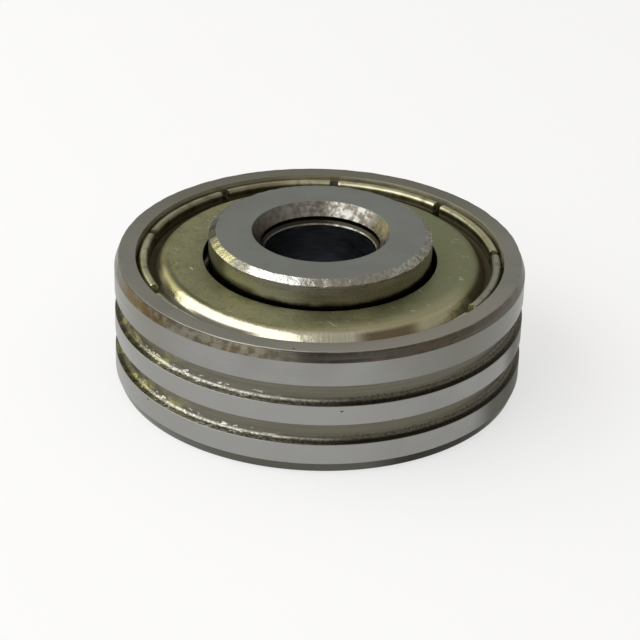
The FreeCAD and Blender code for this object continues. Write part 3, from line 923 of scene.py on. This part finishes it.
def inner_ring():
    centre = inner_race + raceway_radius
    race_half = race_half_height(inner_radius, centre)
    counterbore = bore_radius + counterbore_step
    mouth_end = inner_top - mouth_depth
    counterbore_end = mouth_end - counterbore_length
    chamfer_end = inner_top - chamfer_length
    bm = outline([
        (bore_radius + lower_chamfer, 0, EDGE),
        (inner_radius - lower_chamfer, 0, EDGE),
        (inner_radius, lower_chamfer, EDGE),
        (inner_radius, mid_height - race_half),
        (inner_radius, mid_height + race_half),
        (inner_radius, chamfer_end, SOFT_EDGE),
        (inner_radius - chamfer_depth, inner_top, SOFT_EDGE),
        (counterbore + mouth_flare, inner_top, SOFT_EDGE),
        (counterbore, mouth_end, WORN_EDGE),
        (counterbore, counterbore_end, WORN_EDGE),
        (bore_radius, counterbore_end - counterbore_step, EDGE),
        (bore_radius, lower_chamfer, EDGE),
    ])
    cut_raceway(bm, inner_radius, centre, -1)
    turned(bm)
    wear(bm, inner_radius, chamfer_end, SOFT_EDGE, (0, 0.11))
    wear(bm, inner_radius - chamfer_depth, inner_top, SOFT_EDGE, (0.08, 0))
    finishes = [end_finish, chamfer_finish, side_finish, mouth_finish, bore_finish]
    end, chamfer, side, mouth, bore = range(len(finishes))

    def zone(radius, height):
        if min(height, inner_top - height) < EDGE / 2:
            return end
        if radius > inner_radius - chamfer_depth - EDGE and height > chamfer_end + EDGE / 2:
            return chamfer
        if radius > inner_race - EDGE:
            return side
        in_mouth = height > counterbore_end - counterbore_step or height < lower_chamfer
        return mouth if in_mouth else bore

    ring = piece(bm, "long_inner_ring", finishes, zone, "inner")
    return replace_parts(ring, "inner_ring")


inner_ring()

# %% [markdown]
# ## Shields
# A shield is one pressing: a flat plate, a sloped shoulder, a channel and a rim folded back on itself. The
# rim is notched so that it springs into its seat. After the spin, the rim's faces are deleted at each
# notch, the open channel wall is bridged, and the two cut ends are filled and their edges broken. A
# boolean would cut it too, but leaves faces that shade badly. On the upper shield, three segments of the rim
# at the front were pressed deeper into the seat than the others.

# %% Shields
sheet_thickness = 0.24
plate_edge, plate_top = 6.27, 1.0
shoulder_foot, shoulder_slope, shoulder_round = 8.89, math.radians(55), 0.6
channel_round = 0.12
rim_inside, rim_outside, rim_top, rim_round = 9.21, 9.69, 1.03, 0.22
notch_count, notch_steps = 9, 3
notch_turn = math.radians(5.8)
pressed_from, pressed_to, pressed_depth = math.radians(205.8), math.radians(325.8), 0.27


def cut_notches(bm, first):
    """Cuts the rim away over a few steps of the turn at each notch. first is the first notch's middle."""
    step = math.tau / TURN_STEPS
    pitch = math.tau / notch_count
    half = step * notch_steps / 2

    def in_notch(co):
        off = (math.atan2(co.y, co.x) - first + pitch / 2) % pitch - pitch / 2
        return abs(off) < half + step / 4

    def on_rim(face):
        return all(end.co.xy.length > rim_inside - EDGE / 10 for end in face.verts)

    gone = [face for face in bm.faces if on_rim(face) and all(in_notch(end.co) for end in face.verts)]
    bmesh.ops.delete(bm, geom=gone, context="FACES")
    for number in range(notch_count):
        middle = Vector((math.cos(first + number * pitch), math.sin(first + number * pitch)))
        root = [edge for edge in bm.edges if edge.is_boundary
                and all(abs(end.co.xy.length - rim_inside) < EDGE / 10 for end in edge.verts)
                and all(end.co.xy.angle(middle) < half + step / 4 for end in edge.verts)
                and abs(edge.verts[0].co.z - edge.verts[1].co.z) < EDGE / 10]
        bmesh.ops.bridge_loops(bm, edges=root)
    ends = bmesh.ops.holes_fill(bm, edges=[edge for edge in bm.edges if edge.is_boundary], sides=0)["faces"]
    bmesh.ops.recalc_face_normals(bm, faces=bm.faces[:])
    sharp = {edge for face in ends for edge in face.edges}
    bmesh.ops.bevel(bm, geom=list(sharp), offset=EDGE, affect="EDGES", segments=2, profile=0.5, material=-1,
                    clamp_overlap=True)


def press_rim(bm):
    """Presses the rim further in from one notch to another."""
    def pressed(co):
        on_top = co.xy.length > rim_inside - EDGE and co.z > rim_top / 2
        return on_top and pressed_from < math.atan2(co.y, co.x) % math.tau < pressed_to

    top = [vert for vert in bm.verts if pressed(vert.co)]
    bmesh.ops.translate(bm, verts=top, vec=(0, 0, -pressed_depth))


def shield(first):
    """A shield that sits at height 0, with the first notch's middle at an angle."""
    foot = seat_mouth + seat_undercut
    shoulder = shoulder_foot - (plate_top - sheet_thickness) / math.tan(shoulder_slope)
    bend_offset = sheet_thickness * math.tan(shoulder_slope / 2)
    bm = outline([
        (shoulder_foot - bend_offset, 0, channel_round + sheet_thickness),
        (rim_inside, 0),
        (foot, 0),
        (foot, sheet_thickness),
        (rim_outside, sheet_thickness),
        (rim_outside, rim_top, rim_round),
        (rim_inside, rim_top, rim_round),
        (rim_inside, sheet_thickness, channel_round),
        (shoulder_foot, sheet_thickness, channel_round),
        (shoulder, plate_top, shoulder_round),
        (plate_edge, plate_top, SOFT_EDGE),
        (plate_edge, plate_top - sheet_thickness, EDGE),
        (shoulder - bend_offset, plate_top - sheet_thickness, shoulder_round - sheet_thickness),
    ])
    turned(bm, first - math.tau / TURN_STEPS * notch_steps / 2)
    cut_notches(bm, first)
    return bm


def upper_shield():
    bm = shield(notch_turn)
    press_rim(bm)
    bmesh.ops.translate(bm, vec=(0, 0, ring_width - seat_depth), verts=bm.verts[:])
    item = piece(bm, "upper_pressing", [zinc_finish], lambda *_: 0, "outer")
    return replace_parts(item, "upper_shield")


def lower_shield():
    bm = shield(0.0)
    bmesh.ops.rotate(bm, verts=bm.verts[:], cent=(0, 0, 0), matrix=Matrix.Rotation(math.pi, 3, "X"))
    bmesh.ops.translate(bm, vec=(0, 0, seat_depth), verts=bm.verts[:])
    item = piece(bm, "lower_pressing", [zinc_finish], lambda *_: 0, "outer")
    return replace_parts(item, "lower_shield")


upper_shield()
lower_shield()

# %% [markdown]
# ## Balls, cage and rivets
# These pieces are hidden behind the shields and show only as glints in the gap. Their solids already have
# the right shape, so they keep it and only get better finishes.

# %% Inside finishes
def polished_steel():
    """Bright balls with a thin film of oil."""
    finish, tree, shader = new_finish("polished_ball", 0.1)
    film = mottle(tree, round_space(tree).place, 1.5)
    base = blend(tree, film, colour(0.2, 0.2, 0.19), colour(0.3, 0.3, 0.28))
    wire(tree, shader, base=base, rough=between(tree, film, 0.3, 0.7, 0.16, 0.3))
    return finish


def dress(node, finish):
    """Gives a solid that keeps its shape a better finish."""
    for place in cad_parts[node].material_slots:
        place.material = finish


ball_finish = polished_steel()
cage_finish = turned_steel("pressed_cage", colour(0.14, 0.135, 0.12), 0.4, 5.0)[0]
rivet_finish = turned_steel("headed_rivet", colour(0.16, 0.155, 0.145), 0.38, 5.0)[0]
balls = [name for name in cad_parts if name.startswith("ball_")]
for ball in balls:
    dress(ball, ball_finish)
for half in ("cage_upper", "cage_lower"):
    dress(half, cage_finish)
dress("cage_rivets", rivet_finish)
print(f"{len(balls)} balls, a cage and its rivets dressed")

# %% [markdown]
# ## Floor
# Metal is mostly a picture of its surroundings. The floor is near white, so the lands of the ring, which
# look down at it, read light grey. Some of its brightness is its own, but only where it is seen directly or
# in a reflection. That keeps it pale in the picture without throwing more light up at the bearing.

# %% Floor
FLOOR_RADIUS = 2.0
FLOOR_GLOW = 0.62


def floor():
    bm = bmesh.new()
    bmesh.ops.create_circle(bm, cap_ends=True, radius=FLOOR_RADIUS, segments=64)
    mesh = bpy.data.meshes.new("floor")
    bm.to_mesh(mesh)
    bm.free()
    item = bpy.data.objects.new("floor", mesh)
    bpy.context.scene.collection.objects.link(item)
    finish, tree, shader = new_finish("pale_floor", 0.9, 0.0)
    grain = mottle(tree, round_space(tree).place, 0.05)
    wire(tree, shader, base=blend(tree, grain, colour(0.9, 0.9, 0.9), colour(0.92, 0.92, 0.92)))
    seen = tree.nodes.new("ShaderNodeLightPath").outputs
    direct = largest(tree, seen["Is Camera Ray"], seen["Is Glossy Ray"], seen["Is Transmission Ray"])
    glow = add(tree, "ShaderNodeEmission", {"Color": WHITE, "Strength": 1.0})
    share = times(tree, direct, FLOOR_GLOW)
    mixed = add(tree, "ShaderNodeMixShader", {0: share, 1: shader.outputs[0], 2: glow})
    plug(tree, tree.nodes["Material Output"].inputs["Surface"], mixed)
    mesh.materials.append(finish)


floor()
print(f"floor {2 * FLOOR_RADIUS} m across")

# %% [markdown]
# ## Sky
# The sky is a soft grey studio. It is darker low down behind the bearing and straight in front of it, where
# a room would be unlit, which darkens the upper corner and the far side of the rim. It is brown low at the
# right and has a yellow patch at the back left, and both colour the metal that mirrors them. A sky of eased
# patches does what panels and flags do in a studio, with no objects to hide.

# %% Sky
def facing(tree, direction, aim, low, high):
    """Eases from 0 to 1 as a direction turns towards an aim."""
    along = vector_calc(tree, "DOT_PRODUCT", direction, Vector(aim).normalized(), output=1)
    return between(tree, along, low, high)


def studio_light(sky):
    """The sky's colour in each direction."""
    look = add(sky, "ShaderNodeTexCoord", {}, "Generated")
    overhead = facing(sky, look, (0, 0, 1), 0.5, 0.95)
    low_behind = times(sky, facing(sky, look, (0, 0, -1), -0.36, -0.12),
                       facing(sky, look, (0.35, 0.94, 0), 0.1, 0.4))
    low_right = times(sky, facing(sky, look, (1, -0.2, 0), 0.5, 0.85),
                      facing(sky, look, (0, 0, -1), -0.5, -0.15))
    in_front = facing(sky, look, (0, -1, 0), 0.86, 0.97)
    back_left = facing(sky, look, (-0.73, 0.6, 0.34), 0.90, 0.97)
    patches = [
        (overhead, colour(0.62, 0.59, 0.57)),
        (low_behind, colour(0.17, 0.155, 0.12)),
        (low_right, colour(0.29, 0.24, 0.165)),
        (in_front, colour(0.17, 0.165, 0.155)),
        (back_left, colour(0.95, 0.92, 0.62)),
    ]
    light = colour(0.54, 0.54, 0.53)
    for share, patch in patches:
        light = blend(sky, share, light, patch)
    print(f"sky of {len(patches)} patches")
    return light


world = bpy.data.worlds.new("studio")
bpy.context.scene.world = world
world.use_nodes = True
background = world.node_tree.nodes["Background"]
plug(world.node_tree, background.inputs["Color"], studio_light(world.node_tree))

# %% [markdown]
# ## Lamp
# One large soft lamp at the left gives the broad highlight on the shield's shoulder and the glitter on the
# chamfer. A rectangle makes the highlight long and even, as a window or a light box does.

# %% Lamp
LAMP_WIDTH, LAMP_HEIGHT = 0.38, 0.18
LAMP_POWER = 0.435
lamp_turn, lamp_rise, lamp_distance = math.radians(198), math.radians(44), 0.22
lamp_place = lamp_distance * Vector((math.cos(lamp_rise) * math.cos(lamp_turn),
                                     math.cos(lamp_rise) * math.sin(lamp_turn), math.sin(lamp_rise)))
lamp = bpy.data.objects.new("soft_lamp", bpy.data.lights.new("soft_lamp", "AREA"))
lamp.data.shape = "RECTANGLE"
lamp.data.size = LAMP_WIDTH
lamp.data.size_y = LAMP_HEIGHT
lamp.data.energy = LAMP_POWER
lamp.location = lamp_place
lamp.rotation_euler = lamp_place.to_track_quat("Z", "Y").to_euler()
bpy.context.scene.collection.objects.link(lamp)
print(f"lamp {LAMP_WIDTH} x {LAMP_HEIGHT} m, {lamp_place.length:.3f} m away")

# %% [markdown]
# ## Camera
# The camera stands where the photograph's did: a long lens, a little under 30 degrees above the floor and
# leaning by a degree or two. The distance and the lens were found from the outlines of the rings.

# %% Camera
ELEVATION = math.radians(28.47)
LEAN = math.radians(1.65)
DISTANCE = 128.26 * MM
LENS = 132.65
AIM = Vector((0.095, 0, 2.925)) * MM

back = Vector((0, -math.cos(ELEVATION), math.sin(ELEVATION)))
across = Vector((1, 0, 0))
up = back.cross(across)
right = across * math.cos(LEAN) + up * math.sin(LEAN)
top = up * math.cos(LEAN) - across * math.sin(LEAN)
camera_turn = Matrix((right, top, back)).transposed().to_4x4()
camera = bpy.data.objects.new("camera", bpy.data.cameras.new("camera"))
camera.data.lens = LENS
camera.data.clip_start = DISTANCE / 10
camera.matrix_world = Matrix.Translation(AIM + back * DISTANCE) @ camera_turn
bpy.context.scene.collection.objects.link(camera)
bpy.context.scene.camera = camera
bpy.context.scene.view_settings.view_transform = "Standard"
print("camera at", tuple(round(value / MM, 2) for value in camera.location), "mm")
